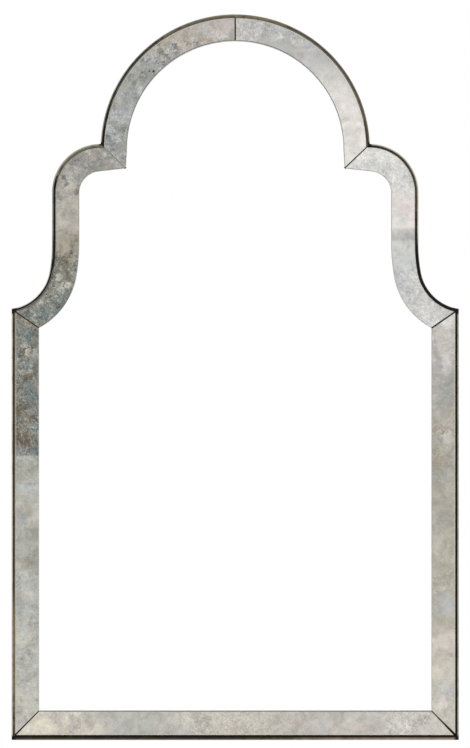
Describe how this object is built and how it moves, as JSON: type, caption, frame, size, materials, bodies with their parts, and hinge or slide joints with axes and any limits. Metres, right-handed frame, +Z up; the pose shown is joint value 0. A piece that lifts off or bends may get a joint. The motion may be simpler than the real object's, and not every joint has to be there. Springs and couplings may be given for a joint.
{
  "type": "arched wall mirror",
  "caption": "Tall wall mirror with an arched top, rounded shoulders and flared sides, bordered by mitred antique mirror strips in a slim dark rim, with swinging D-ring hangers.",
  "frame": {"origin": "on the wall plane, behind the middle of the outline's width and height", "axes": "+Z up, +X to the viewer's right, +Y into the wall; the mirror faces -Y"},
  "size_m": [0.61, 0.025, 0.99],
  "materials": {
    "board": "fibreboard painted matt black",
    "plate": "clear silvered glass",
    "antique_glass": "antiqued silvered glass with a polished arris",
    "rim": "black paint, rubbed through on the outer arris",
    "tape": "double-sided foam tape",
    "adhesive": "cured mirror adhesive",
    "strap_steel": "zinc plated",
    "ring_steel": "zinc plated wire",
    "screw_steel": "zinc plated",
    "bumper_rubber": "soft black rubber"
  },
  "bodies": {
    "frame": {"backing_board": "board", "mirror_plate": "plate", "plate_adhesive": "adhesive", "strip_tape": "tape", "arch_strip_left": "antique_glass", "arch_strip_right": "antique_glass", "shoulder_strip_left": "antique_glass", "shoulder_strip_right": "antique_glass", "side_strip_left": "antique_glass", "side_strip_right": "antique_glass", "bottom_strip": "antique_glass", "arch_rail_left": "rim", "arch_rail_right": "rim", "shoulder_rail_left": "rim", "shoulder_rail_right": "rim", "side_rail_left": "rim", "side_rail_right": "rim", "bottom_rail": "rim", "hanger_strap_left": "strap_steel", "hanger_strap_right": "strap_steel", "hanger_screws": "screw_steel", "wall_bumpers": "bumper_rubber"},
    "ring_left": {"hanger_ring_left": "ring_steel"},
    "ring_right": {"hanger_ring_right": "ring_steel"}
  },
  "joints": [
    {"name": "ring_left_swing", "type": "hinge", "parent": "frame", "child": "ring_left", "pos_m": [-0.234, -0.003, 0.19502], "axis": [-1, 0, 0], "range_deg": [0, 180]},
    {"name": "ring_right_swing", "type": "hinge", "parent": "frame", "child": "ring_right", "pos_m": [0.234, -0.003, 0.19502], "axis": [-1, 0, 0], "range_deg": [0, 180]}
  ]
}
